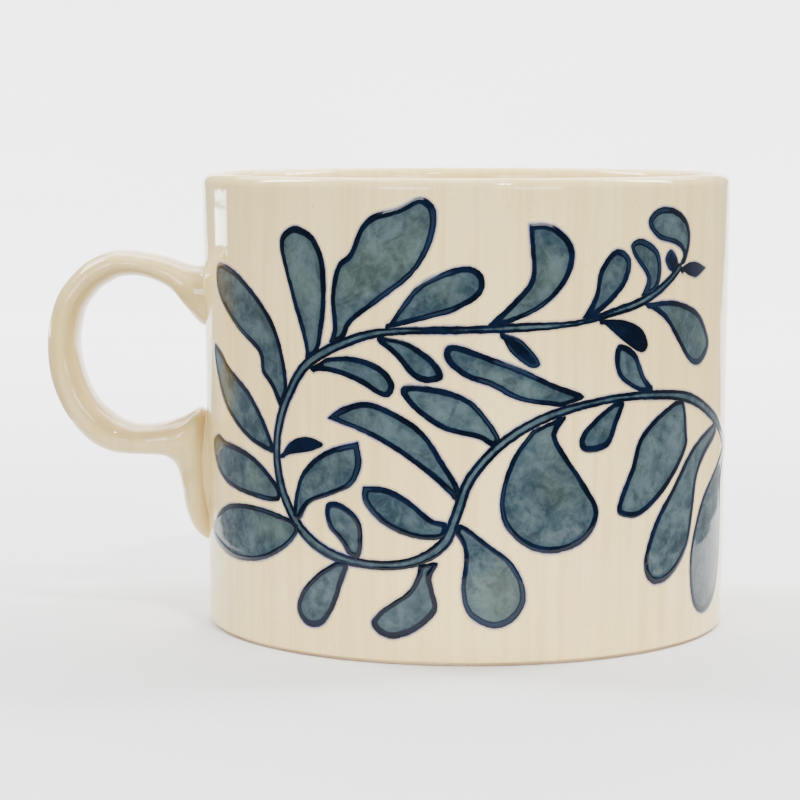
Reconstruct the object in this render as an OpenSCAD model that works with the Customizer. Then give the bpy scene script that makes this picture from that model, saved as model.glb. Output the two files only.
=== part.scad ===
// Glazed stoneware mug with a painted vine that winds round it, and a pulled strap handle.
// Millimetres, Z up. The origin is on the mug's axis, where the foot meets the table.
// The handle points along -X, and the front of the painting faces -Y.
// Positions in the painting are [around, up]: millimetres round the wall from the front, towards +X,
// and millimetres above the table, both for a mug of the design size.

/* [Cup] */
// Height from the table to the top of the lip
mug_height = 87; // [70:1:110]
// Outside radius at the lip
rim_radius = 51; // [44:0.5:58]
// Outside radius of the glazed wall at the foot
foot_radius = 50.2; // [43:0.2:58]
// Wall thickness with both coats of glaze; the lip is rounded to half of it
wall_thickness = 4; // [3:0.2:6]
// Height of the glazed floor above the table
floor_height = 6.6; // [4:0.2:10]
// Radius of the bend between the floor and the wall, inside
floor_bend = 9; // [4:1:16]
// Rounding of the foot's outer edge
foot_round = 0.8; // [0.4:0.2:3]

/* [Glaze] */
// Thickness of the cream coat outside and of the liner inside
glaze_thickness = 0.4; // [0.2:0.1:0.8]
// Height of the bare clay left at the foot
bare_band = 0.6; // [0.4:0.2:4]

/* [Handle] */
// How far the strap stands out from the wall
handle_reach = 30.6; // [24:0.2:38]
// Width of the strap, across the mug's radius
strap_width = 14.4; // [10:0.4:20]
// How square the strap's section is: 2 is an ellipse
strap_squareness = 2.4; // [2:0.1:4]
// Height of the middle of the slip that joins the strap to the clay at the top
upper_joint_height = 63; // [62:0.5:64]
// Radius of that slip
upper_joint_radius = 6; // [3:0.5:7]
// Height of the lower end of the slip that joins the strap's tail to the clay
lower_joint_bottom = 19; // [18:0.5:22]
// Height of its upper end
lower_joint_top = 35; // [30:0.5:36]
// Half its width
lower_joint_half_width = 4.5; // [3:0.5:6]

/* [Painting] */
// Width of the dark line round each leaf
leaf_line = 0.95; // [0.5:0.05:1.6]
// How much thicker the line is at the leaf's tip than at its root, on each side of the middle
tip_shift = 0.2; // [0:0.05:0.3]
// Width of each dark edge of the stem
stem_edge = 0.55; // [0.3:0.05:0.8]
// How far the dark lines stand off the glaze
line_height = 0.16; // [0.05:0.01:0.3]
// How far the grey-blue wash stands off the glaze
wash_height = 0.1; // [0.05:0.01:0.3]

/* [Hidden] */
// Which subcomponent to draw
$fn = 144;
design_radius = 51;
design_height = 87;
design_reach = 30.6;
up_scale = mug_height / design_height;
out_scale = handle_reach / design_reach;
past_wall = 5;
lip_round = wall_thickness / 2;
lip_centre = rim_radius - lip_round;
lip_z = mug_height - lip_round;
arc_steps = 12;
spline_steps = 4;
handle_steps = 3;
ring_points = 24;

// The strap, station by station from the top joint down to the end of the tail:
// [out and up of the outer edge, out and up of the inner edge, share of the strap's half width].
// Out is from the wall; a station that dips below the wall lies on it.
strap_stations = [
    [-1, 70.5, -1, 55.5, 1.5],
    [1.5, 69, 1.5, 58.5, 1.3],
    [6.5, 70.5, 6, 64, 1.1],
    [11.5, 71.5, 11, 66.5, 1],
    [17, 72, 15.5, 66.8, 1],
    [24, 68.8, 20, 64.5, 1],
    [29, 61.8, 23.5, 59, 1],
    [30.6, 52, 24.3, 51.8, 1],
    [28.5, 41.5, 22, 44.2, 1],
    [22, 33.8, 17.5, 39, 1],
    [15, 32, 13.5, 37.8, 1],
    [9, 32, 8, 38.2, 1.05],
    [5.8, 30, 0.5, 41, 1.2],
    [4.5, 25.5, -1, 31, 1.2],
    [3.8, 21.5, -1, 24.5, 1.1],
    [2.2, 17.5, -1, 19, 0.9],
    [0.4, 15.5, -1, 16, 0.5]];

// The stem as it is painted: [around, up, width]
main_stem = [[79, 33.5, 2], [70, 35.5, 2], [62, 40.5, 2], [50, 45.8, 1.9], [40, 47.5, 1.7],
    [28, 47.5, 1.4], [16, 45.2, 1.7], [7, 40.5, 1.8], [1, 34, 1.9], [-1.5, 27.5, 1.9],
    [-4, 22, 2.1], [-10, 18.6, 1.8], [-18, 18, 1.6], [-26, 19.5, 1.9], [-32, 23.2, 2],
    [-36.2, 29, 2], [-38, 35, 1.9], [-37.5, 41.5, 1.9], [-34.7, 48, 1.9], [-29.8, 54, 1.9],
    [-20, 58.6, 1.7], [-12, 60.1, 1.4], [0, 60.4, 1.3], [10, 60.8, 1.6], [20, 61.3, 1],
    [28, 63.1, 1.5], [35, 65, 1.7], [41, 68, 1.4], [44.6, 70.8, 1.5]];
// The stem's way round the back, from the end of the front to the start of the second vine
joining_stem = [[79, 33.5, 2], [88, 30.5, 2], [98, 29.5, 2], [109, 32.5, 2], [121, 36, 1.9]];

// Leaves, each an outline that starts at its root. A point given twice is a sharp corner.
// The first three reach towards the handle and are painted once; the rest are on both sides.
handle_leaves = [
    [[-39, 38], [-41.5, 42.3], [-46.5, 47.7], [-54, 51.6], [-57.5, 54], [-61.5, 55], [-61, 51.5],
        [-56.5, 45], [-51.5, 41.3], [-45.5, 38.3], [-39.5, 36.8]],
    [[-37.3, 29], [-38.5, 31.3], [-44, 35], [-50, 36.7], [-56, 37.2], [-60, 38], [-63.5, 36],
        [-61, 32], [-55, 29.3], [-46, 28], [-38.5, 27.8]],
    [[-33, 24], [-36, 25.2], [-43, 26.2], [-51, 26], [-58.5, 24], [-65, 19], [-60, 16.7],
        [-52, 15.5], [-43.5, 16.3], [-37, 19], [-33.5, 22]]];
leaves = [
    [[-37.3, 45.5], [-39.5, 49], [-42, 51.5], [-43, 55], [-50, 59], [-57, 63.8], [-59.5, 67.5],
        [-58, 70.5], [-50.5, 69.4], [-43, 65], [-38, 59.5], [-35.7, 53], [-35.3, 48.5]],
    [[-30.8, 54.4], [-31, 57.5], [-34.5, 67.5], [-36.6, 74.5], [-35.5, 77.2], [-32.5, 78.2],
        [-28.7, 76.5], [-26.5, 72], [-26.2, 65], [-27, 59.5], [-28, 56]],
    [[-25.5, 57.6], [-24.6, 60.5], [-25, 66], [-23.8, 71.4], [-21.2, 73.8], [-19.3, 78], [-16.8, 80.5],
        [-12, 81.8], [-8, 83.7], [-5.3, 81.5], [-6, 75.8], [-9.5, 70], [-16, 65], [-20.8, 61.4],
        [-22.5, 58.4]],
    [[-14.2, 60.4], [-11.5, 64.5], [-7.5, 68.9], [-0.5, 71.6], [3, 70.2], [2.8, 66.7], [-2, 63.7],
        [-9, 61.7]],
    [[3.8, 61.2], [8.5, 65.5], [11.7, 69.5], [11.6, 74.5], [11.3, 79], [11.3, 79], [15.5, 78.8],
        [19.4, 75.2], [19, 70], [14.5, 64.8], [7.8, 61.6]],
    [[21.3, 62.1], [23.8, 66], [25, 71], [28.3, 74.3], [31.5, 72.3], [30.3, 67.8], [24.8, 63]],
    [[34, 65.7], [35.5, 69], [32.5, 72.6], [31.5, 75], [34, 76], [38, 73.8], [39, 70], [37.8, 66.8]],
    [[44.8, 71.2], [45.3, 73], [43.3, 74.7], [38, 76.1], [35.6, 79], [38, 81.3], [42.5, 81.2],
        [46.4, 79], [47.6, 75.5], [46.2, 71.6]],
    [[35.2, 64.1], [38, 62.6], [41, 60.7], [44.5, 56.7], [48, 53.2], [52, 52.3], [55.8, 55], [55, 58],
        [50.5, 62.2], [43, 64.4], [36.5, 64.4]],
    [[-14.5, 59], [-10, 58], [-5.6, 55], [-4, 52], [-6.5, 51], [-9.5, 52], [-12.5, 55.5],
        [-16, 58.4]],
    [[-27.2, 54.1], [-25.5, 54.9], [-20.5, 55.2], [-15.5, 53.8], [-12.8, 50.6], [-14.5, 48.2],
        [-20, 50.9], [-25, 52.3], [-29.5, 52.6]],
    [[33.8, 48.6], [30, 50.7], [28.4, 53.6], [29, 57.2], [32.8, 55.7], [35, 51.5], [37.3, 48.5]],
    [[17.2, 46.5], [9.5, 47.9], [4.5, 50.4], [0, 52], [-3.2, 54.6], [-3.6, 57], [-1.5, 57.7], [4, 55.8],
        [10, 53.5], [16, 50.7], [22, 48.2]],
    [[4.6, 39.7], [2, 41.2], [-4, 42.7], [-9, 46], [-11.6, 49.3], [-9.8, 50.6], [-3.5, 49.8],
        [0.8, 48], [3.7, 45], [6.2, 41]],
    [[-1.7, 30], [-5, 33.2], [-11, 37.7], [-18, 41.5], [-25.8, 44], [-25.8, 44], [-23, 46],
        [-18, 47.3], [-12.5, 45.5], [-7.5, 42.2], [-3.8, 36.8], [-1.1, 32.2]],
    [[-3.2, 26], [-6.2, 26.8], [-10.5, 30.2], [-14.5, 32], [-18.8, 32], [-18.8, 32], [-18.5, 29],
        [-15, 25.5], [-9.5, 23.2], [-4.3, 23.2]],
    [[-22, 19.6], [-23.5, 22], [-26, 24.5], [-26.4, 28.3], [-23.5, 28.8], [-20, 26.5], [-19, 23.5],
        [-19.6, 19.2]],
    [[-34, 25.5], [-33.4, 29.5], [-31.5, 34], [-26.5, 38], [-19.8, 40], [-19.8, 40], [-19.2, 36],
        [-21, 32.2], [-25, 30.2], [-30, 28.2], [-32.4, 25]],
    [[-24.3, 18], [-28, 15.8], [-31.8, 12.2], [-33.2, 8.5], [-31, 5.8], [-27.5, 6.1], [-24.8, 9.8],
        [-23.2, 14], [-22, 17.6]],
    [[-8.2, 18.3], [-10, 13.8], [-15.5, 9.7], [-17.1, 7], [-14, 4.8], [-9.5, 6], [-5.2, 9.8],
        [-5.6, 13.5], [-6.1, 16], [-4.9, 18.8]],
    [[-1.6, 24], [0, 20.5], [-0.5, 14], [0.8, 9.3], [5.5, 7], [9.5, 8.9], [11, 13], [8.8, 18.5],
        [4.3, 22.2], [-0.6, 25.8]],
    [[12, 42.4], [8.5, 37.5], [6.5, 31], [7.2, 25.5], [11.5, 21.3], [17, 20.3], [22.5, 22.3],
        [25.1, 27], [22.5, 32.2], [18.5, 37.8], [16.6, 41.5], [18.3, 44.8]],
    [[28.2, 46.7], [25, 44.7], [21.3, 41], [22.2, 38.2], [27, 38.9], [29, 43], [30.5, 46.6]],
    [[43.8, 46], [38.5, 43.5], [34.2, 39.8], [32.5, 35], [29.4, 28], [30.5, 26], [35, 25.9],
        [42, 30.6], [47.4, 36.8], [47.7, 40], [46.7, 45.4]],
    [[60.2, 40.6], [54, 38.8], [49, 36], [43.5, 30], [38.5, 24], [36, 16.8], [38, 13], [43, 13.5],
        [48.6, 18.4], [50.5, 25], [52, 31.2], [55.5, 35.2], [61.5, 38.6]],
    [[68.3, 35], [62.5, 32.2], [55, 27], [51, 20], [50, 13], [52, 6.8], [57, 5], [63, 7.5],
        [66, 13], [67, 20], [66.5, 28], [69, 32.5]]];
// Leaves on the joining stem, on the side away from the handle
joining_leaves = [
    [[84.5, 32.3], [83.5, 37], [85.5, 44], [89.5, 52.5], [94, 56.5], [96, 52], [93.5, 43], [89.5, 36],
        [87.5, 31.8]],
    [[99.5, 30.4], [99.5, 35], [102, 42.5], [107.5, 49], [110.5, 46], [109, 40], [104.5, 35],
        [102.5, 31]],
    [[89, 29.3], [85.5, 23], [80, 15.5], [79.5, 9.5], [84, 6.5], [89.5, 11], [92.5, 19], [92, 28.9]],
    [[103.5, 29.8], [102, 23], [102.5, 15], [106.5, 9], [112, 11], [112.5, 18], [109.5, 25],
        [106, 30.4]]];
// Buds, small leaves filled with the dark colour of the lines
buds = [
    [[43.2, 69.8], [43.7, 71.7], [41.8, 73.8], [40.2, 72.3], [41, 70.6], [42.2, 69.8]],
    [[44.8, 70.1], [46.2, 70.9], [49.5, 71.3], [53.9, 70], [53.9, 70], [49.5, 68.5]],
    [[25, 61.8], [29.5, 61.6], [34, 60], [35.9, 57], [34.3, 55.6], [30, 57.9]],
    [[6.4, 59.8], [9.3, 59], [12, 56.5], [13.4, 54.2], [11.5, 53.8], [8, 56.6]],
    [[-37, 36.2], [-34.5, 39], [-30.7, 40.3], [-27, 39.2], [-29.5, 37.9], [-34, 37]]];

// Outside radius of the glazed wall at a height
function wall_radius(z) = foot_radius + (rim_radius - foot_radius) * z / lip_z;

function arc(centre_r, centre_z, radius, from, to, steps = arc_steps) =
    [for (i = [0:steps]) let (a = from + (to - from) * i / steps)
        [centre_r + radius * cos(a), centre_z + radius * sin(a)]];

// The cup's outside from the glaze line to the crest of the lip, a depth below the surface
function outside(depth) = concat(
    [[wall_radius(bare_band) - depth, bare_band]],
    arc(lip_centre, lip_z, lip_round - depth, 0, 90));

// The cup's inside from the crest of the lip to the middle of the floor, a depth below the surface
function inside(depth) =
    let (bend_z = floor_height + floor_bend)
    concat(
        arc(lip_centre, lip_z, lip_round - depth, 90, 180),
        arc(wall_radius(bend_z) - wall_thickness - floor_bend, bend_z, floor_bend + depth, 0, -90),
        [[0, floor_height - depth]]);

function reversed(list) = [for (i = [len(list) - 1:-1:0]) list[i]];

// Catmull-Rom curve between b and c, for numbers or lists of them
function between(a, b, c, d, t) =
    (2 * b + (c - a) * t + (2 * a - 5 * b + 4 * c - d) * t * t
        + (3 * b - a - 3 * c + d) * t * t * t) / 2;

// Open smooth line through the stations
function smooth_line(p, steps) = concat(
    [for (i = [0:len(p) - 2]) for (k = [0:steps - 1])
        between(p[max(i - 1, 0)], p[i], p[i + 1], p[min(i + 2, len(p) - 1)], k / steps)],
    [p[len(p) - 1]]);

// Closed smooth line through the points, with a corner at the first and at each doubled point
function smooth_loop(p, steps) =
    let (n = len(p))
    [for (i = [0:n - 1]) if (p[i] != p[(i + 1) % n]) for (k = [0:steps - 1])
        between(i == 0 ? p[0] : p[i - 1], p[i], p[(i + 1) % n],
            i == n - 1 ? p[0] : p[(i + 2) % n], k / steps)];

// A turn of the mug that brings a painted position to the front
function turn_of(around) = around / design_radius * 180 / PI;

// ---- handle ----

// A point that would be inside the wall is moved out along -X onto it
function on_or_outside_wall(x, y, z) =
    let (r = wall_radius(z))
    [norm([x, y]) < r ? -sqrt(r * r - y * y) : x, y, z];

function squashed(value) = sign(value) * pow(abs(value), 2 / strap_squareness);

function strap_ring(s) =
    let (outer = [-rim_radius - s[0] * out_scale, s[1] * up_scale],
        inner = [-rim_radius - s[2] * out_scale, s[3] * up_scale],
        middle = (outer + inner) / 2,
        half = (outer - inner) / 2)
    [for (i = [0:ring_points - 1])
        let (a = 360 * i / ring_points,
            p = middle + half * squashed(cos(a)))
        on_or_outside_wall(p[0], strap_width / 2 * s[4] * squashed(sin(a)), p[1])];

function ring_middle(ring) =
    let (top = ring[0], low = ring[ring_points / 2])
    on_or_outside_wall((top[0] + low[0]) / 2, 0, (top[2] + low[2]) / 2);

module strap_handle() {
    rings = [for (s = smooth_line(strap_stations, handle_steps)) strap_ring(s)];
    count = len(rings);
    points = concat([for (ring = rings) for (p = ring) p],
        [ring_middle(rings[0]), ring_middle(rings[count - 1])]);
    first_cap = count * ring_points;
    sides = [for (i = [0:count - 2]) for (j = [0:ring_points - 1])
        let (a = i * ring_points + j,
            b = i * ring_points + (j + 1) % ring_points)
        each [[a, b + ring_points, b], [a, a + ring_points, b + ring_points]]];
    caps = [for (j = [0:ring_points - 1])
        let (k = (j + 1) % ring_points,
            last = (count - 1) * ring_points)
        each [[first_cap, j, k], [first_cap + 1, last + k, last + j]]];
    color("#ddd0b8") polyhedron(points = points, faces = concat(sides, caps), convexity = 6);
}

// ---- clay and glaze ----

module stoneware_body() {
    clay_radius = wall_radius(foot_round) - glaze_thickness;
    color("#c9b595")
    rotate_extrude()
    polygon(concat(
        [[0, 0]],
        arc(clay_radius - foot_round, foot_round, foot_round, -90, 0, 6),
        outside(glaze_thickness),
        inside(glaze_thickness)));
}

// The space that the slip at the top joint fills
module upper_joint_space() {
    translate([0, 0, upper_joint_height * up_scale])
    rotate([0, -90, 0])
    cylinder(r = upper_joint_radius, h = rim_radius + past_wall);
}

// The space that the slip at the tail fills: a slot with round ends
module lower_joint_space() {
    top = lower_joint_top * up_scale - lower_joint_half_width;
    bottom = lower_joint_bottom * up_scale + lower_joint_half_width;
    rotate([90, 0, -90])
    linear_extrude(rim_radius + past_wall)
    polygon(concat(arc(0, top, lower_joint_half_width, 0, 180),
        arc(0, bottom, lower_joint_half_width, 180, 360)));
}

module outer_coat() {
    rotate_extrude()
    polygon(concat(outside(0), reversed(outside(glaze_thickness))));
}

module outer_glaze() {
    color("#ded3be")
    difference() {
        outer_coat();
        upper_joint_space();
        lower_joint_space();
    }
}

module liner_glaze() {
    color("#ded3be")
    rotate_extrude()
    polygon(concat(inside(0), reversed(inside(glaze_thickness))));
}

module upper_joint_slip() {
    color("#b9a17c")
    intersection() {
        outer_coat();
        upper_joint_space();
    }
}

module lower_joint_slip() {
    color("#b9a17c")
    intersection() {
        outer_coat();
        lower_joint_space();
    }
}

// ---- painting ----

// The layer of the wall that a paint of this height fills
module paint_layer(height) {
    low = 2;
    high = lip_z;
    rotate_extrude()
    polygon([[wall_radius(low), low], [wall_radius(low) + height, low],
        [wall_radius(high) + height, high], [wall_radius(high), high]]);
}

// How far round the wall the middle of an outline is
function middle_of(outline) =
    let (across = [for (p = outline) p[0]])
    (min(across) + max(across)) / 2;

// An outline as seen from straight in front of its middle
function flattened(outline) =
    let (middle = middle_of(outline))
    [for (p = smooth_loop(outline, spline_steps))
        [rim_radius * sin(turn_of(p[0] - middle)), p[1] * up_scale]];

// Presses a flat shape through the wall from in front of an outline's middle, at a paint's height
module painted(outline, height) {
    intersection() {
        paint_layer(height);
        rotate([0, 0, turn_of(middle_of(outline))])
        translate([0, -rim_radius / 2, 0])
        rotate([90, 0, 0])
        linear_extrude(rim_radius)
        children();
    }
}

// The inside of a leaf's dark line, moved towards the root so that the line is thicker at the tip
module leaf_inside(outline) {
    points = flattened(outline);
    tip = points[floor(len(points) / 2)];
    along = (tip - points[0]) / norm(tip - points[0]);
    translate(-tip_shift * along)
    offset(delta = -leaf_line)
    polygon(points);
}

module leaf_lines(outlines) {
    for (outline = outlines)
        painted(outline, line_height)
        difference() {
            polygon(flattened(outline));
            leaf_inside(outline);
        }
}

module leaf_washes(outlines) {
    for (outline = outlines)
        painted(outline, wash_height)
        leaf_inside(outline);
}

module solid_buds() {
    for (outline = buds)
        painted(outline, line_height)
        polygon(flattened(outline));
}

// The share of a stem's width that each dark edge takes
function edge_share(width) = min(stem_edge / width, 0.4);

// A ribbon along a stem; side is -1 or 1 for the dark edges and 0 for the wash between them
module ribbon(stem, side, height) {
    line = smooth_line(stem, spline_steps);
    last = len(line) - 1;
    sections = [for (i = [0:last])
        let (ahead = line[min(i + 1, last)] - line[max(i - 1, 0)],
            across = [-ahead[1], ahead[0]] / norm([ahead[0], ahead[1]]) * line[i][2],
            here = [line[i][0], line[i][1]],
            inner = 0.5 - edge_share(line[i][2]),
            left = here + across * (side > 0 ? 0.5 : side < 0 ? -inner : inner),
            right = here + across * (side > 0 ? inner : side < 0 ? -0.5 : -inner))
        [on_wall(left, 0), on_wall(left, height), on_wall(right, height), on_wall(right, 0)]];
    points = [for (section = sections) each section];
    sides = [for (i = [0:last - 1]) for (j = [0:3])
        let (a = 4 * i + j,
            b = 4 * i + (j + 1) % 4)
        each [[a, a + 4, b + 4], [a, b + 4, b]]];
    end = 4 * last;
    caps = [[0, 1, 2], [0, 2, 3], [end + 2, end + 1, end], [end + 3, end + 2, end]];
    polyhedron(points = points, faces = concat(sides, caps), convexity = 10);
}

function on_wall(p, height) =
    let (r = wall_radius(p[1] * up_scale) + height,
        turn = turn_of(p[0]))
    [r * sin(turn), -r * cos(turn), p[1] * up_scale];

module stem_lines(stem) {
    ribbon(stem, -1, line_height);
    ribbon(stem, 1, line_height);
}

module stem_wash(stem) {
    ribbon(stem, 0, wash_height);
}

module front_leaf_lines() {
    color("#152a3c") leaf_lines(concat(handle_leaves, leaves));
}

module front_leaf_washes() {
    color("#50696f") leaf_washes(concat(handle_leaves, leaves));
}

module front_buds() {
    color("#152a3c") solid_buds();
}

module front_stem_lines() {
    color("#152a3c") stem_lines(main_stem);
}

module front_stem_wash() {
    color("#4a6272") stem_wash(main_stem);
}

// The vine starts again half a turn on, so that it closes up with the front on the +X side
// The second vine's stem ends beside the handle's lower joint
second_vine_end = [68.2, 35.9, 1.8];
second_vine_stem = [for (p = concat([second_vine_end], [for (q = main_stem) if (q[0] < 69) q]))
    [p[0] + PI * design_radius, p[1], p[2]]];

module back_leaf_lines() {
    color("#152a3c") {
        rotate([0, 0, 180]) leaf_lines(leaves);
        leaf_lines(joining_leaves);
    }
}

module back_leaf_washes() {
    color("#50696f") {
        rotate([0, 0, 180]) leaf_washes(leaves);
        leaf_washes(joining_leaves);
    }
}

module back_buds() {
    color("#152a3c") rotate([0, 0, 180]) solid_buds();
}

module back_stem_lines() {
    color("#152a3c") {
        stem_lines(second_vine_stem);
        stem_lines(joining_stem);
    }
}

module back_stem_wash() {
    color("#4a6272") {
        stem_wash(second_vine_stem);
        stem_wash(joining_stem);
    }
}

stoneware_body();
strap_handle();
upper_joint_slip();
lower_joint_slip();
outer_glaze();
liner_glaze();
front_leaf_lines();
front_leaf_washes();
front_buds();
front_stem_lines();
front_stem_wash();
back_leaf_lines();
back_leaf_washes();
back_buds();
back_stem_lines();
back_stem_wash();
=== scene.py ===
import math

import bpy
import numpy as np
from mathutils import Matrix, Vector

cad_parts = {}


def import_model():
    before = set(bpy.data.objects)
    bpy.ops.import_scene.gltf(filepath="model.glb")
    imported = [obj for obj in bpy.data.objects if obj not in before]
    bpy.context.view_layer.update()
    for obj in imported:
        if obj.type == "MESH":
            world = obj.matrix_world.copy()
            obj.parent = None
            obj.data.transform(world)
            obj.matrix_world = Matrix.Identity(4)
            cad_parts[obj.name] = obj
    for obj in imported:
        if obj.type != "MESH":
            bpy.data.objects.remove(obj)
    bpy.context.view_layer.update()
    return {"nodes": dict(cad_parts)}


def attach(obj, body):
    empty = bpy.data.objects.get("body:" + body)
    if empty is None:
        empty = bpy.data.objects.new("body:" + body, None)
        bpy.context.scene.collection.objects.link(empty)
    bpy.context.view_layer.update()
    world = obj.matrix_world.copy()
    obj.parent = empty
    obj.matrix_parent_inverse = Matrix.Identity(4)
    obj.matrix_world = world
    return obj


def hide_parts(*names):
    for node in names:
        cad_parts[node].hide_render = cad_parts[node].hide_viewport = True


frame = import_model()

MM = 0.001

# ---------------------------------------------------------------- reading the frame


def node_points(name):
    """The vertices of a CAD node, in metres."""
    me = frame["nodes"][name].data
    co = np.empty(len(me.vertices) * 3, np.float32)
    me.vertices.foreach_get("co", co)
    return co.reshape(-1, 3).astype(float)


def radii(points):
    return np.hypot(points[:, 0], points[:, 1])


coat = node_points("outer_glaze")
liner = node_points("liner_glaze")
strap = node_points("strap_handle")

HEIGHT = coat[:, 2].max()
RIM = radii(coat).max()
BAND = coat[:, 2].min()                                    # the top of the bare clay at the foot
FOOT = radii(coat)[coat[:, 2] < BAND + 0.01 * MM].max()
GLAZE = FOOT - radii(coat)[coat[:, 2] < BAND + 0.01 * MM].min()
LIP = RIM - radii(liner).max()                             # rounding of the lip: half the wall
LIP_Z = HEIGHT - LIP
WALL = 2 * LIP
FLOOR = liner[radii(liner) < radii(liner).min() + 0.1 * MM][:, 2].max()
SLOPE = (RIM - FOOT) / (LIP_Z - BAND)
REACH = -strap[:, 0].min() - RIM                           # how far the handle stands out
JOINT = -math.pi / 2                                       # the turn from the front to the handle


def wall_r(z):
    """The radius of the true cone of the glazed wall at a height."""
    return FOOT + SLOPE * (z - BAND)


def wobble(turn, z):
    """How far the hand-thrown wall stands off the true cone, the same for every piece on it."""
    slow = 0.07 * np.sin(2 * turn + 0.6) + 0.035 * np.sin(3 * turn + 40 * z + 1.9)
    rings = 0.012 * np.sin(520 * z + 1.5 * np.sin(turn)) + 0.008 * np.sin(1310 * z + 2 * turn)
    facets = 0.0035 * np.sin(21 * turn + 30 * z) + 0.0022 * np.sin(47 * turn - 50 * z + 0.8)
    return (slow + rings + facets) * MM


def on_wall(turn, z, lift=0.0):
    """Points on the glazed wall: turn runs from the front towards +X."""
    r = wall_r(z) + wobble(turn, z) + lift
    return np.stack([r * np.sin(turn), -r * np.cos(turn), z + 0 * turn], -1)


# ---------------------------------------------------------------- meshes


def make(name, points, quads, tris=(), values=None):
    """A smooth mesh object from arrays; values holds one number a vertex for each named attribute."""
    quads = np.asarray(quads, np.int32).reshape(-1, 4)
    tris = np.asarray(tris, np.int32).reshape(-1, 3)
    me = bpy.data.meshes.new(name)
    me.vertices.add(len(points))
    me.vertices.foreach_set("co", np.asarray(points, np.float32).ravel())
    me.loops.add(quads.size + tris.size)
    me.loops.foreach_set("vertex_index", np.concatenate([quads.ravel(), tris.ravel()]))
    me.polygons.add(len(quads) + len(tris))
    starts = np.concatenate([np.arange(len(quads)) * 4, quads.size + np.arange(len(tris)) * 3])
    me.polygons.foreach_set("loop_start", starts.astype(np.int32))
    me.update(calc_edges=True)
    me.validate()
    me.shade_smooth()
    for key, numbers in (values or {}).items():
        layer = me.attributes.new(key, "FLOAT", "POINT")
        layer.data.foreach_set("value", np.asarray(numbers, np.float32))
    obj = bpy.data.objects.new(name, me)
    bpy.context.scene.collection.objects.link(obj)
    return obj


def tube(name, rings, values=None, closed_ways=True):
    """A closed skin over rings of points; the two ends are closed with a fan, or joined."""
    rings = np.asarray(rings)
    count, around = rings.shape[:2]
    last = count if closed_ways else count - 1
    i, j = np.meshgrid(np.arange(last), np.arange(around), indexing="ij")
    a, b = i * around + j, i * around + (j + 1) % around
    c = ((i + 1) % count) * around
    quads = np.stack([a, b, c + (j + 1) % around, c + j], -1).reshape(-1, 4)
    points, tris = rings.reshape(-1, 3), []
    if not closed_ways:
        points = np.concatenate([points, rings[[0, -1]].mean(1)])
        k = np.arange(around)
        n, end = (k + 1) % around, (count - 1) * around
        low = np.stack([np.full(around, count * around), n, k], -1)
        high = np.stack([np.full(around, count * around + 1), end + k, end + n], -1)
        tris = np.concatenate([low, high])
        values = {key: np.concatenate([v, [v[0], v[-1]]]) for key, v in (values or {}).items()}
    return make(name, points, quads, tris, values)


def revolve(name, profile, segments):
    """A closed skin from a closed profile of (radius, height, share of the wobble)."""
    turn = np.linspace(0, 2 * math.pi, segments, endpoint=False)[None, :]
    r, z, share = (np.asarray(profile)[:, k][:, None] for k in range(3))
    r = r + share * wobble(turn, z)
    return tube(name, np.stack([r * np.sin(turn), -r * np.cos(turn), z + 0 * turn], -1))


def step(value, low, high):
    """Rises smoothly from 0 at low to 1 at high."""
    t = np.clip((value - low) / (high - low), 0, 1)
    return t * t * (3 - 2 * t)


# ---------------------------------------------------------------- outlines of the painting

SAME_POINT = 0.002 * MM                                    # closer vertices are one
BATCH = 4000                                               # points measured at a time


def boundary_loops(name):
    """Closed lines round the outer faces of each solid in a painted CAD node.
    Their points are (around the rim from the front, up), in mm."""
    me = frame["nodes"][name].data
    me.calc_loop_triangles()
    tri = np.empty(len(me.loop_triangles) * 3, np.int32)
    me.loop_triangles.foreach_get("vertices", tri)
    points = node_points(name)
    cells = np.round(points / SAME_POINT).astype(np.int64)
    _, first, same = np.unique(cells, axis=0, return_index=True, return_inverse=True)
    points, tri = points[first], same.ravel()[tri].reshape(-1, 3)
    lift = radii(points) - wall_r(points[:, 2])
    outer = lift > lift.max() / 2
    tri = tri[outer[tri].all(1)]
    edges = np.concatenate([tri[:, [0, 1]], tri[:, [1, 2]], tri[:, [2, 0]]])
    seen = {(a, b) for a, b in edges.tolist()}
    after = {a: b for a, b in seen if (b, a) not in seen}
    loops = []
    while after:
        start = here = next(iter(after))
        loop = []
        while here in after:
            loop.append(here)
            here = after.pop(here)
        if len(loop) > 5 and here == start:
            p = points[loop]
            turn = np.unwrap(np.arctan2(p[:, 0], -p[:, 1]))
            loops.append(np.stack([turn * RIM / MM, p[:, 2] / MM], -1))
    return loops


def size_of(loop):
    """The area inside a closed line."""
    x, y = loop[:, 0], loop[:, 1]
    return abs(np.dot(x, np.roll(y, -1)) - np.dot(y, np.roll(x, -1))) / 2


def inside_by(points, loop):
    """How far inside a closed line each point is, in mm; outside is negative."""
    a, b = loop, np.roll(loop, -1, 0)
    out = np.empty(len(points))
    for s in range(0, len(points), BATCH):
        p = points[s:s + BATCH, None, :]
        ab = (b - a)[None]
        t = np.clip(((p - a) * ab).sum(-1) / np.maximum((ab * ab).sum(-1), 1e-9), 0, 1)
        gap = np.linalg.norm(a + t[..., None] * ab - p, axis=-1).min(1)
        crosses = (a[None, :, 1] > p[..., 1]) != (b[None, :, 1] > p[..., 1])
        rise = np.where(np.abs(ab[..., 1]) < 1e-12, 1e-12, ab[..., 1])
        at = a[None, :, 0] + (p[..., 1] - a[None, :, 1]) * ab[..., 0] / rise
        within = (crosses & (p[..., 0] < at)).sum(1) % 2 == 1
        out[s:s + BATCH] = np.where(within, gap, -gap)
    return out


def brought_near(loop, mark):
    """The same line, moved by whole turns of the mug to be near a mark."""
    full = 2 * math.pi * RIM / MM
    return loop + [full * round((mark[:, 0].mean() - loop[:, 0].mean()) / full), 0]


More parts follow.
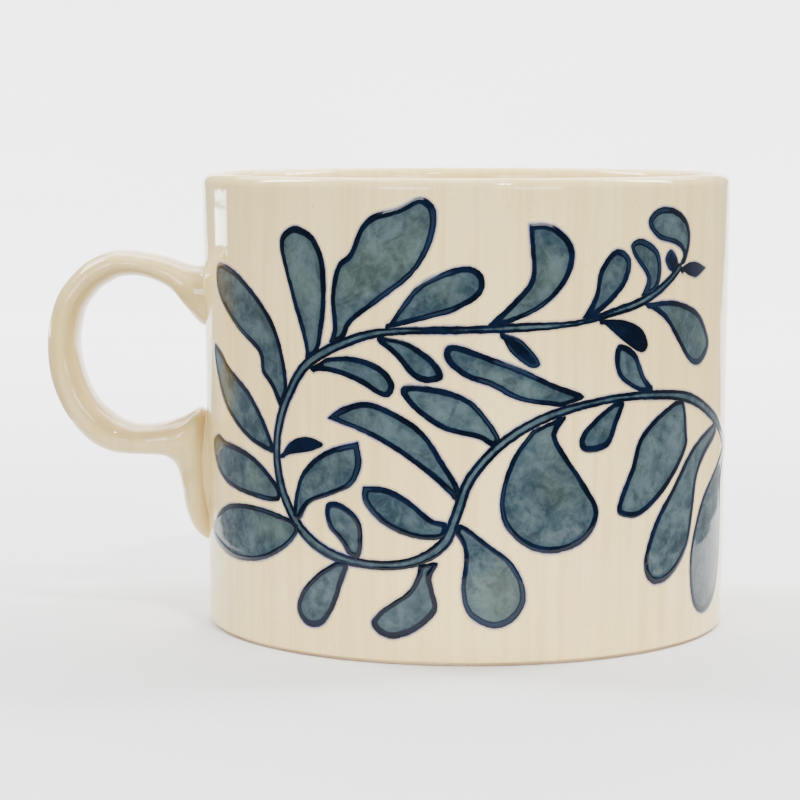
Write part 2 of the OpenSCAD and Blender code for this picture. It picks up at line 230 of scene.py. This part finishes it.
# All in mm
SKIRT = 1.15                      # clear glaze round the paint on its piece, running out under the wall's
BLEED = 0.09                      # how far the fired colour has spread past the drawn line
SPACING = 0.33
RAISED = 2                        # added to the stored distances, so that the skirt's are above zero
FAR = 9                           # the largest one stored


def pad(name, distances, corners, lift, depth=0.3):
    """A closed skin on the wall, wherever it is no further than the skirt outside the paint.
    distances gives (inside the outline, inside the wash) at points, and lift turns them into a
    height, all in mm."""
    (u0, z0), (u1, z1) = corners
    u = np.arange(u0 - SKIRT - SPACING, u1 + SKIRT + 2 * SPACING, SPACING)
    z = np.arange(z0 - SKIRT - SPACING, z1 + SKIRT + 2 * SPACING, SPACING)
    grid = np.stack(np.meshgrid(u, z, indexing="ij"), -1).reshape(-1, 2)
    outline, wash = distances(grid)
    keep = (outline > -SKIRT).reshape(len(u), len(z))
    i, j = np.nonzero(keep[:-1, :-1] & keep[1:, :-1] & keep[:-1, 1:] & keep[1:, 1:])
    corner, across = i * len(z) + j, (i + 1) * len(z) + j
    quads = np.stack([corner, across, across + 1, corner + 1], -1)
    used, quads = np.unique(quads, return_inverse=True)
    quads = quads.reshape(-1, 4)
    grid, outline, wash = grid[used], outline[used], wash[used]
    turn, up = grid[:, 0] * MM / RIM, grid[:, 1] * MM
    top = on_wall(turn, up, lift(outline, wash) * MM)
    under = on_wall(turn, up, -depth * MM)
    count = len(used)
    edges = np.concatenate([quads[:, [0, 1]], quads[:, [1, 2]], quads[:, [2, 3]], quads[:, [3, 0]]])
    seen = {(a, b) for a, b in edges.tolist()}
    rim = np.array([(a, b) for a, b in seen if (b, a) not in seen])
    sides = np.stack([rim[:, 1], rim[:, 0], rim[:, 0] + count, rim[:, 1] + count], -1)
    faces = np.concatenate([quads, quads[:, ::-1] + count, sides])
    stored = {"outline": outline, "wash": wash}
    values = {key: np.tile(np.clip(v + RAISED, 0, FAR), 2) for key, v in stored.items()}
    return make(name, np.concatenate([top, under]), faces, values=values)


def paint_lift(outline, wash):
    """The skirt runs out just under the wall; the dark line is a low ridge and the wash lies lower."""
    skirt = -0.05 + 0.062 * step(outline, -SKIRT + 0.05, -SKIRT + 0.5)
    ridge = 0.075 * step(outline, -0.2, 0.35)
    return skirt + ridge - 0.04 * step(wash, -0.25, 0.3)


# All in mm
TOUCHING = 0.2                    # a leaf nearer than this to a stem needs no stroke to join it
LONGEST_STROKE = 2.6
EDGE_SIDE = 1.2                   # a stem's dark edge runs nearer than this to its wash


def closest(a, b):
    """The closest pair of points of two lines, and the gap between them."""
    gaps = np.linalg.norm(a[:, None] - b[None], axis=-1)
    i, j = np.unravel_index(gaps.argmin(), gaps.shape)
    return a[i], b[j], gaps[i, j]


def finer(loop, parts=6):
    """The same closed line with more points on it."""
    t = np.arange(parts)[None, :, None] / parts
    return (loop[:, None] * (1 - t) + np.roll(loop, -1, 0)[:, None] * t).reshape(-1, 2)


def root_stroke(outline, stem_washes):
    """The two ends of the brush stroke that joins a leaf to the stem, in mm.
    None if the leaf touches the stem already, or is too far from it."""
    near = [closest(outline, finer(brought_near(w, outline))) for w in stem_washes]
    root, stem, gap = min(near, key=lambda found: found[2])
    if not TOUCHING < gap < LONGEST_STROKE:
        return None
    way = (stem - root) / gap
    return root - 0.7 * way, stem - 0.15 * way


def joined(outline, points, stroke, radius=0.3, blend=0.7):
    """How far inside the outline points are, once the stroke has melted into it."""
    a, b = stroke
    t = np.clip(((points - a) @ (b - a)) / ((b - a) @ (b - a)), 0, 1)
    along = radius - np.linalg.norm(points - a - t[:, None] * (b - a), axis=1)
    melt = np.clip(blend - np.abs(outline - along), 0, None) / blend
    return np.maximum(outline, along) + melt**2 * blend / 4


def painted(name, loops, holes, nodes, slot, stroke=None):
    """One painted shape on the wall: its outline, the washes inside it, and the stroke at its root."""
    lines = loops + ([np.array(stroke)] if stroke else [])
    corners = (np.min([p.min(0) for p in lines], 0), np.max([p.max(0) for p in lines], 0))

    def distances(points):
        outline = np.max([inside_by(points, p) for p in loops], 0) + BLEED
        wash = np.full(len(points), -float(RAISED))
        if holes:
            wash = np.max([inside_by(points, p) for p in holes], 0)
        if len(loops) > 1:
            outline = np.maximum(outline, wash + 0.35)
        if stroke:
            outline = joined(outline, points, stroke)
        return outline, wash

    finish_piece(pad(name, distances, corners, paint_lift), PAINT, slot, *nodes)


def leaves(side, stem_washes):
    """Each leaf is the line round it, with the loops inside that line as the edge of its wash."""
    loops = sorted(boundary_loops(side + "_leaf_lines"), key=size_of, reverse=True)
    outlines = []
    for loop in loops:
        near = [brought_near(loop, o[0]) for o in outlines]
        within = [inside_by(p[:1], o[0])[0] > 0 for p, o in zip(near, outlines)]
        if any(within):
            k = within.index(True)
            outlines[k][1].append(near[k])
        else:
            outlines.append((loop, []))
    outlines.sort(key=lambda o: (round(o[0][:, 0].mean()), o[0][:, 1].mean()))
    nodes = [side + "_leaf_lines", side + "_leaf_washes"]
    for k, (outline, washes) in enumerate(outlines):
        stroke = root_stroke(outline, stem_washes)
        painted(f"{side}_leaf_{k + 1:02d}", [outline], washes, nodes, "leaf_wash", stroke)


def buds(side, stem_washes):
    """Small leaves filled with the dark colour."""
    loops = sorted(boundary_loops(side + "_buds"), key=lambda p: p[:, 0].mean())
    for k, loop in enumerate(loops):
        stroke = root_stroke(loop, stem_washes)
        painted(f"{side}_bud_{k + 1}", [loop], [], [side + "_buds"], "dark_line", stroke)


def stems(side, washes):
    """A stem is two dark edges with a wash between them; the back has two stems, whose edges may be
    one line, so each stem takes the stretch beside its own wash."""
    edges = boundary_loops(side + "_stem_lines")
    nodes = [side + "_stem_lines", side + "_stem_wash"]
    for k, wash in enumerate(sorted(washes, key=size_of, reverse=True)):
        low, high = wash[:, 0].min() - 1, wash[:, 0].max() + 1
        own = [brought_near(p, wash) for p in edges]
        own = [p[(p[:, 0] > low) & (p[:, 0] < high)] for p in own]
        own = [p for p in own if len(p) > 8 and np.median(inside_by(p, wash)) > -EDGE_SIDE]
        painted(f"{side}_stem_{k + 1}", own, [wash], nodes, "stem_wash")


# ---------------------------------------------------------------- materials


class Nodes:
    """Short ways to build a material's node tree."""

    def __init__(self, name):
        self.material = bpy.data.materials.new(name)
        self.material.use_nodes = True
        self.tree = self.material.node_tree
        self.shader = self.tree.nodes["Principled BSDF"]
        self.place = self.add("ShaderNodeTexCoord").outputs["Object"]

    def add(self, kind, **settings):
        node = self.tree.nodes.new(kind)
        for key, value in settings.items():
            setattr(node, key, value)
        return node

    def put(self, socket, value):
        if isinstance(value, bpy.types.NodeSocket):
            self.tree.links.new(value, socket)
        else:
            socket.default_value = value

    def math(self, operation, a, b):
        node = self.add("ShaderNodeMath", operation=operation)
        self.put(node.inputs[0], a)
        self.put(node.inputs[1], b)
        return node.outputs[0]

    def noise(self, scale, detail=3.0, roughness=0.5, stretch=(1, 1, 1), distortion=0.0):
        spread = self.add("ShaderNodeMapping")
        spread.inputs["Scale"].default_value = stretch
        self.put(spread.inputs["Vector"], self.place)
        node = self.add("ShaderNodeTexNoise")
        self.put(node.inputs["Vector"], spread.outputs[0])
        node.inputs["Scale"].default_value = scale
        node.inputs["Detail"].default_value = detail
        node.inputs["Roughness"].default_value = roughness
        node.inputs["Distortion"].default_value = distortion
        return node.outputs[0]

    def ramp(self, value, low, high, to_low=0.0, to_high=1.0):
        node = self.add("ShaderNodeMapRange", interpolation_type="SMOOTHSTEP")
        for k, v in enumerate((value, low, high, to_low, to_high)):
            self.put(node.inputs[k], v)
        return node.outputs[0]

    def mix(self, share, a, b):
        node = self.add("ShaderNodeMix", data_type="RGBA")
        self.put(node.inputs[0], share)
        self.put(node.inputs[6], a)
        self.put(node.inputs[7], b)
        return node.outputs[2]

    def attribute(self, name):
        return self.add("ShaderNodeAttribute", attribute_name=name).outputs["Fac"]

    def bump(self, height, strength, distance):
        node = self.add("ShaderNodeBump")
        node.inputs["Strength"].default_value = strength
        node.inputs["Distance"].default_value = distance
        self.put(node.inputs["Height"], height)
        self.put(self.shader.inputs["Normal"], node.outputs[0])


def srgb(r, g, b):
    """A display colour from 0 to 255, as Blender's linear one."""
    def linear(v):
        v /= 255
        return v / 12.92 if v <= 0.04045 else ((v + 0.055) / 1.055) ** 2.4
    return (linear(r), linear(g), linear(b), 1.0)


CREAM = srgb(232, 207, 142)
CREAM_PALE = srgb(238, 219, 164)
CREAM_WARM = srgb(215, 188, 122)
# the next colour is the tan of the painted shade on the handle and joints, and of the handle's even tint
SHADE_TAN = srgb(160, 138, 92)
SPECK = srgb(120, 84, 48)


def cream(n, tan_and_shade=None):
    """The cream glaze: soft mottling, faint streaks down the wall and a few iron specks."""
    cloud = n.ramp(n.noise(26, 4, 0.55), 0.35, 0.68)
    streak = n.ramp(n.noise(1, 4, 0.65, stretch=(380, 380, 16)), 0.38, 0.7)
    grain = n.ramp(n.noise(900, 2, 0.5), 0.3, 0.75)
    color = n.mix(n.math("MULTIPLY", cloud, 0.55), CREAM, CREAM_PALE)
    color = n.mix(n.math("MULTIPLY", streak, 0.6), color, CREAM_WARM)
    color = n.mix(n.math("MULTIPLY", grain, 0.10), color, CREAM_WARM)
    speck = n.ramp(n.noise(1500, 1, 0.4), 0.74, 0.8)
    color = n.mix(n.math("MULTIPLY", speck, 0.3), color, SPECK)
    # painted shade, and the handle's tan tint, mixed in by the given share
    if tan_and_shade is not None:
        color = n.mix(tan_and_shade, color, SHADE_TAN)
    return color


def glossy(n, ior):
    """The clear glaze over everything, with a slightly uneven skin."""
    n.shader.inputs["Roughness"].default_value = 0.06
    n.shader.inputs["IOR"].default_value = ior
    n.bump(n.noise(260, 3, 0.5), 0.06, 0.0004)
    return n.material


def cream_material(name, tint_and_shade=False):
    """Cream glaze, mixed towards tan by the piece's 'pool' attribute if it has one: painted shade, and on
    the handle a tan tint too.
    """
    n = Nodes(name)
    tan_and_shade = None
    if tint_and_shade:
        tan_and_shade = n.math("MULTIPLY", n.attribute("pool"), n.ramp(n.noise(60, 3), 0.25, 0.7, 0.6, 1.0))
    n.put(n.shader.inputs["Base Color"], cream(n, tan_and_shade))
    return glossy(n, 1.4)


def paint_material():
    """Line and wash, told apart by each point's distance inside the outline and inside the wash."""
    n = Nodes("painted_glaze")
    shake = n.math("MULTIPLY", n.math("SUBTRACT", n.noise(700, 3, 0.6), 0.5), 0.34)
    sway = n.math("MULTIPLY", n.math("SUBTRACT", n.noise(150, 2, 0.5), 0.5), 0.5)
    outline = n.math("ADD", n.math("SUBTRACT", n.attribute("outline"), RAISED), shake)
    wash_in = n.math("ADD", n.math("SUBTRACT", n.attribute("wash"), RAISED), n.math("ADD", shake, sway))
    # cobalt that has bled into the glaze round the line
    halo = n.math("MULTIPLY", n.ramp(outline, -0.6, 0.05), n.ramp(n.noise(120, 2), 0.3, 0.7, 0.45, 0.95))
    color = n.mix(halo, cream(n), srgb(74, 80, 132))
    # the dark line, with a paler core in places where two strokes run side by side
    core = n.math("MINIMUM", outline, n.math("MULTIPLY", wash_in, -1.0))
    band = n.math("MULTIPLY", n.ramp(core, 0.24, 0.38), n.ramp(core, 0.5, 0.7, 1.0, 0.0))
    twin = n.math("MULTIPLY", band, n.ramp(n.noise(60, 1), 0.55, 0.6))
    ink = n.mix(n.ramp(n.noise(190, 3, 0.6), 0.35, 0.7), srgb(2, 8, 20), srgb(6, 18, 38))
    ink = n.mix(n.math("MULTIPLY", twin, 0.45), ink, srgb(34, 50, 68))
    # the wash, laid in overlapping strokes
    patch = n.ramp(n.noise(75, 5, 0.62, distortion=0.8), 0.36, 0.64)
    pool = n.ramp(n.noise(150, 6, 0.7, distortion=1.4), 0.44, 0.64)
    strokes = n.ramp(n.noise(380, 5, 0.7, distortion=0.5), 0.4, 0.66)
    wash = n.mix(patch, srgb(34, 50, 58), srgb(66, 81, 84))
    wash = n.mix(n.math("MULTIPLY", pool, 0.6), wash, srgb(12, 26, 36))
    wash = n.mix(n.math("MULTIPLY", n.ramp(n.noise(55, 3), 0.5, 0.68), 0.2), wash, srgb(86, 94, 74))
    wash = n.mix(n.math("MULTIPLY", strokes, 0.3), wash, srgb(92, 106, 108))
    edge = n.math("SUBTRACT", 1.0, n.ramp(wash_in, 0.1, 1.1))
    wash = n.mix(n.math("MULTIPLY", edge, 0.3), wash, srgb(34, 52, 66))
    color = n.mix(n.ramp(outline, -0.08, 0.10), color, ink)
    color = n.mix(n.ramp(wash_in, -0.10, 0.14), color, wash)
    n.put(n.shader.inputs["Base Color"], color)
    return glossy(n, 1.3)


def clay_material():
    """Bare fired clay: sandy, with the rings that trimming leaves."""
    n = Nodes("bare_stoneware")
    rings = n.add("ShaderNodeTexWave", wave_type="RINGS", rings_direction="Z")
    n.put(rings.inputs["Vector"], n.place)
    for key, value in (("Scale", 210.0), ("Distortion", 2.5), ("Detail", 3.0), ("Detail Scale", 1.2)):
        rings.inputs[key].default_value = value
    grain = n.noise(1300, 4, 0.7)
    base = n.mix(n.ramp(n.noise(45, 4), 0.35, 0.7), srgb(190, 163, 126), srgb(166, 136, 99))
    base = n.mix(n.math("MULTIPLY", n.ramp(grain, 0.55, 0.75), 0.5), base, srgb(120, 92, 64))
    n.put(n.shader.inputs["Base Color"], base)
    n.put(n.shader.inputs["Roughness"], n.ramp(grain, 0.3, 0.7, 0.72, 0.9))
    n.bump(n.math("ADD", n.math("MULTIPLY", rings.outputs["Fac"], 0.35), grain), 0.35, 0.0003)
    return n.material


PAINT = paint_material()
GLAZED = cream_material("cream_glaze")
# cream with painted shade, and on the handle a tan tint, where a piece's 'pool' attribute says
PAINTED_SHADE_CREAM = cream_material("cream_glaze_painted_shade", tint_and_shade=True)
CLAY = clay_material()


def finish_piece(obj, material, slot, *nodes):
    """Gives a piece its look, hangs it on the root and hides the CAD nodes it stands for."""
    obj.data.materials.append(material)
    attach(obj, "root")
    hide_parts(*nodes)


# ---------------------------------------------------------------- the cup

SEGMENTS = 720
ROWS = 150
BEND = 9 * MM                     # between the wall and the floor, inside
TURNED_IN = 6 * MM                # how far the coat reaches down inside, and the liner runs in
GAP = 0.02 * MM                   # between the clay and the back of its glaze
POLE = 0.02 * MM                  # a revolved skin keeps a hole this wide on the axis


def arc(r, z, radius, start, end, steps):
    """Points of a profile round (r, z), between two angles in degrees."""
    a = np.radians(np.linspace(start, end, steps))
    return np.stack([r + radius * np.cos(a), z + radius * np.sin(a)], -1)


def inner_wall(depth, start):
    """The inside of the cup from a height to the middle of the floor, a depth below the glaze.
    Its top leans into the clay by a hair, so that it comes out of the coat without a step."""
    foot_z = FLOOR + BEND
    inner = wall_r(foot_z) - WALL
    r, z = np.linspace(RIM - WALL, inner, ROWS)[1:-1], np.linspace(start, foot_z, ROWS)[1:-1]
    lean = 0.06 * MM * (1 - np.clip((start - z) / TURNED_IN, 0, 1)) ** 2
    wall = np.stack([r + depth + lean, z], -1)
    turn_in = arc(inner - BEND, foot_z, BEND + depth, 0, -90, 24)
    floor_r = np.linspace(inner - BEND, POLE, 40)[1:]
    floor = np.stack([floor_r, np.full(len(floor_r), FLOOR - depth)], -1)
    return np.concatenate([wall, turn_in, floor])


def outer_wall(depth, start):
    """The outside of the cup from a height to the lip, a depth below the glaze."""
    z = start + (LIP_Z - start) * np.linspace(0, 1, ROWS)[:-1]
    return np.stack([wall_r(z) - depth, z], -1)


def lip(depth, steps):
    return arc(RIM - LIP, LIP_Z, LIP - depth, 0, 180, steps)


def glazed(name, profile, node):
    """A coat of glaze that follows the whole of the wall's wobble."""
    profile = np.concatenate([profile, np.ones((len(profile), 1))], 1)
    finish_piece(revolve(name, profile, SEGMENTS), GLAZED, "cream_glaze", node)


def coat_and_liner():
    bead_r = 0.35 * MM
    bead = arc(FOOT - bead_r, BAND + bead_r, bead_r, -90, 0, 6)
    inside_r = RIM - WALL
    inside = np.stack([np.full(8, inside_r), np.linspace(LIP_Z, LIP_Z - TURNED_IN, 8)], -1)[1:]
    inside[:, 0] += np.linspace(0, 0.08 * MM, len(inside))
    shown = np.concatenate([bead, outer_wall(0, BAND + 2 * bead_r), lip(0, 28), inside])
    end = [[inside_r + GLAZE, LIP_Z - TURNED_IN]]
    hidden = np.concatenate([outer_wall(GLAZE, BAND), lip(GLAZE, 12), end])
    glazed("wall_glaze", np.concatenate([shown, hidden[::-1]]), "outer_glaze")
    # the liner starts under the coat's inner end
    start = LIP_Z - TURNED_IN / 2
    liner_profile = np.concatenate([inner_wall(0, start), inner_wall(GLAZE, start)[::-1]])
    glazed("liner", liner_profile, "liner_glaze")


def clay_body():
    """The clay: its foot is bare, with the marks of trimming underneath."""
    clay = FOOT - GLAZE
    under = [(0.05 * MM, 0.0)] + [(r * MM, 0.0) for r in range(2, int((clay - BAND) / MM), 2)]
    corner = arc(clay - BAND, BAND, BAND, -90, 0, 9)
    outside = outer_wall(GLAZE + GAP, BAND + 0.3 * MM)
    inside = inner_wall(GLAZE + GAP, LIP_Z)
    profile = np.concatenate([under, corner, outside, lip(GLAZE + GAP, 12), inside])
    share = np.clip(profile[:, :1] / clay, 0, 1) ** 4      # the middle of the floor doesn't wobble
    body = revolve("clay_body", np.concatenate([profile, share], 1), SEGMENTS // 2)
    finish_piece(body, CLAY, "bare_stoneware", "stoneware_body")


# ---------------------------------------------------------------- the handle

# The strap's outer and inner edge, seen from the front: (out from the wall, up) of each in mm, and
# the half width in mm. Below the wall the strap is hidden in the clay.
STATIONS = np.array([
    (-2.5, 70.2, -2.5, 56.5, 10.0),
    (0.6, 69.0, 0.4, 57.6, 9.6),
    (3.2, 69.2, 3.2, 60.6, 8.6),
    (6.8, 70.4, 6.4, 64.4, 7.7),
    (11.6, 71.5, 11.2, 66.6, 7.3),
    (17.0, 71.9, 15.5, 66.8, 7.2),
    (21.2, 70.6, 18.4, 65.6, 7.2),
    (24.6, 68.2, 20.7, 63.9, 7.2),
    (28.4, 63.4, 23.2, 60.4, 7.2),
    (30.3, 57.2, 24.3, 55.8, 7.2),
    (30.6, 51.5, 24.3, 51.6, 7.2),
    (29.6, 45.6, 23.2, 47.0, 7.2),
    (27.0, 39.8, 21.2, 42.8, 7.2),
    (22.8, 34.8, 18.0, 39.8, 7.2),
    (18.0, 32.4, 15.2, 38.2, 7.2),
    (12.4, 31.9, 12.2, 37.7, 7.3),
    (9.2, 31.8, 8.0, 38.2, 7.5),
    (7.2, 31.3, 4.4, 39.4, 7.8),
    (5.8, 30.0, 0.4, 41.0, 8.1),
    (5.0, 28.0, -1.6, 36.0, 8.2),
    (4.4, 25.3, -2.0, 30.0, 8.0),
    (4.0, 22.4, -2.2, 25.5, 7.6),
    (3.2, 19.6, -2.4, 21.5, 7.0),
    (2.0, 17.3, -2.6, 18.6, 6.0),
    (0.2, 15.6, -2.8, 16.6, 4.4),
    (-1.6, 15.0, -2.8, 15.6, 2.6)])


def smooth_rows(rows, steps):
    """Catmull-Rom curve through the rows."""
    p = np.concatenate([rows[:1], rows, rows[-1:]])
    t = np.linspace(0, 1, steps, endpoint=False)[:, None]
    parts = []
    for a, b, c, d in zip(p, p[1:], p[2:], p[3:]):
        square, cube = 2 * a - 5 * b + 4 * c - d, 3 * b - a - 3 * c + d
        parts.append((2 * b + (c - a) * t + square * t**2 + cube * t**3) / 2)
    return np.concatenate(parts + [rows[-1:]])


def rounded_square(count, squareness):
    """Points (along, across) round a unit superellipse; a squareness of 2 is a circle."""
    a = np.linspace(0, 2 * math.pi, count, endpoint=False)
    power = 2 / squareness
    return (np.sign(np.cos(a)) * np.abs(np.cos(a)) ** power,
            np.sign(np.sin(a)) * np.abs(np.sin(a)) ** power)


def handle():
    """The strap: its glaze has a tan tint, with painted shade in the hollow of its inner side, away from
    the wall.
    """
    rows = smooth_rows(STATIONS, 9)
    along, across = rounded_square(96, 2.35)
    reach = REACH / (STATIONS[:, 0].max() * MM)
    rings, tint_and_shade = [], []
    for k, (outer_out, outer_z, inner_out, inner_z, half) in enumerate(rows):
        outer, inner = np.array([outer_out * reach, outer_z]), np.array([inner_out * reach, inner_z])
        middle, spread = (outer + inner) / 2, (outer - inner) / 2
        p = middle + spread * along[:, None]
        width = half * (1 + 0.012 * math.sin(0.21 * k) + 0.008 * math.sin(0.53 * k + 1))
        rings.append(np.stack([-RIM - p[:, 0] * MM, across * width * MM, p[:, 1] * MM], -1))
        # painted shade: the 'pool' attribute darkens the hollow of the inner side towards tan, on top of
        # an even tan tint over the whole strap
        hollow = 0.42 * np.exp(-((along + 0.42) / 0.36) ** 2)
        near_wall = math.exp(-((max(middle[0], 0) / 5) ** 2))
        tint_and_shade.append(0.4 + hollow * (1 - 0.9 * near_wall) + 0.04 * near_wall)
    obj = tube("handle", rings[::-1], {"pool": np.concatenate(tint_and_shade[::-1])}, closed_ways=False)
    finish_piece(obj, PAINTED_SHADE_CREAM, "cream_glaze", "strap_handle")


def joint(name, centre, half_wide, half_high, roll, node):
    """Slip smoothed round a joint: it curves up from the wall to the strap's side, all in mm."""
    turn = JOINT * RIM / MM
    wide, high = rounded_square(96, 2.2)
    foot = np.stack([turn + half_wide * wide, centre + half_high * high], -1)
    reach = np.stack([turn + (half_wide + roll) * wide, centre + (half_high + roll) * high], -1)

    def distances(points):
        return inside_by(points, reach), inside_by(points, foot)

    def lift(inward, _):
        curve = roll - np.sqrt(np.maximum(roll**2 - np.clip(inward, 0, roll) ** 2, 0))
        return np.where(inward < 0, -0.05, 0.98 * curve) - 0.04 * (1 - step(inward, 0, 0.8))

    obj = pad(name, distances, (reach.min(0), reach.max(0)), lift)
    layers = obj.data.attributes
    inward = np.array([v.value for v in layers["outline"].data]) - RAISED
    # painted shade in the crease: the 'pool' attribute grows darker towards the strap
    pool = layers.new("pool", "FLOAT", "POINT")
    pool.data.foreach_set("value", (0.25 * np.clip(inward, 0, roll) / roll).astype(np.float32))
    for unused in ("outline", "wash"):
        layers.remove(layers[unused])
    finish_piece(obj, PAINTED_SHADE_CREAM, "cream_glaze", node)


coat_and_liner()
clay_body()
handle()
joint("upper_joint", 64.1, 8.2, 2.9, 3.2, "upper_joint_slip")
joint("tail_joint", 29.6, 6.8, 9.1, 3.1, "lower_joint_slip")
for side in ("front", "back"):
    stem_washes = boundary_loops(side + "_stem_wash")
    leaves(side, stem_washes)
    buds(side, stem_washes)
    stems(side, stem_washes)


# ---------------------------------------------------------------- floor, lights and camera


def floor():
    """A pale sheet: flat under the mug, wider behind it, and curved up into a backdrop."""
    front, flat, bend, rise, steps = -0.147, 0.8, 0.9, 1.8, 24
    line = [(y, 0.0) for y in np.linspace(front, flat, 16)]
    for a in np.linspace(0, math.pi / 2, steps + 1)[1:]:
        line.append((flat + bend * math.sin(a), bend - bend * math.cos(a)))
    line.append((flat + bend, rise))
    points = []
    for y, z in line:
        half = 0.13 + 0.38 * float(step(y, 0.1, flat))
        points += [(-half, y, z), (half, y, z)]
    quads = [(2 * k, 2 * k + 1, 2 * k + 3, 2 * k + 2) for k in range(len(line) - 1)]
    obj = make("sweep", np.array(points), quads)
    n = Nodes("pale_paper")
    tone = n.mix(n.ramp(n.noise(6, 3), 0.3, 0.7), (0.76, 0.76, 0.76, 1), (0.73, 0.73, 0.73, 1))
    n.put(n.shader.inputs["Base Color"], tone)
    n.shader.inputs["Roughness"].default_value = 0.7
    n.shader.inputs["Specular IOR Level"].default_value = 0.2
    obj.data.materials.append(n.material)


def area_light(name, place, target, wide, high, power):
    """A soft box that faces its target; metres and watts."""
    data = bpy.data.lights.new(name, "AREA")
    data.shape = "RECTANGLE"
    data.size, data.size_y = wide, high
    data.energy = power
    obj = bpy.data.objects.new(name, data)
    obj.location = place
    obj.rotation_euler = (Vector(target) - Vector(place)).to_track_quat("-Z", "Y").to_euler()
    bpy.context.scene.collection.objects.link(obj)


def world():
    """Pale all round, and darker on the side the mug is looked at from."""
    data = bpy.data.worlds.new("studio")
    data.use_nodes = True
    tree = data.node_tree
    background = tree.nodes["Background"]
    way = tree.nodes.new("ShaderNodeTexCoord")
    parts = tree.nodes.new("ShaderNodeSeparateXYZ")
    level = tree.nodes.new("ShaderNodeMapRange")
    level.interpolation_type = "SMOOTHSTEP"
    for k, value in ((1, -0.3), (2, 0.95), (3, 0.22), (4, 1.0)):
        level.inputs[k].default_value = value
    tree.links.new(way.outputs["Generated"], parts.inputs[0])
    tree.links.new(parts.outputs["Y"], level.inputs[0])
    tree.links.new(level.outputs[0], background.inputs["Strength"])
    background.inputs["Color"].default_value = (1, 1, 1, 1)
    bpy.context.scene.world = data


def camera():
    """At the photo's angle: a little above the lip, a long lens, the handle to the left."""
    data = bpy.data.cameras.new("camera")
    data.lens, data.sensor_width = 119.0, 36.0
    obj = bpy.data.objects.new("camera", data)
    obj.location = (0.0, -0.515, 0.0977)
    obj.rotation_euler = (math.radians(90 - 6.109), 0.0, math.radians(1.421))
    bpy.context.scene.collection.objects.link(obj)
    bpy.context.scene.camera = obj


floor()
world()
middle = (0.0, 0.0, HEIGHT / 2)
area_light("key", (-0.4, -0.82, 0.32), middle, 0.35, 0.4, 7.8)
area_light("fill", (0.45, -0.8, 0.32), middle, 0.35, 0.4, 6.8)
area_light("top", (0.0, -0.1, 1.1), middle, 0.8, 0.8, 4)
area_light("upper", (0.2, -0.5, 0.8), (-0.05, 0.0, 0.06), 0.08, 0.08, 7)
area_light("card", (-0.342, 0.252, 0.058), (-0.045, -0.016, 0.078), 0.098, 0.022, 0.12)
area_light("ground", (0.0, 0.6, 0.62), (0.0, 0.55, 0.0), 1.2, 0.5, 11)
for way in (-1, 1):
    area_light(f"backdrop_{way}", (1.1 * way, 0.6, 1.3), (0.5 * way, 1.6, 0.3), 0.8, 0.8, 90)
camera()
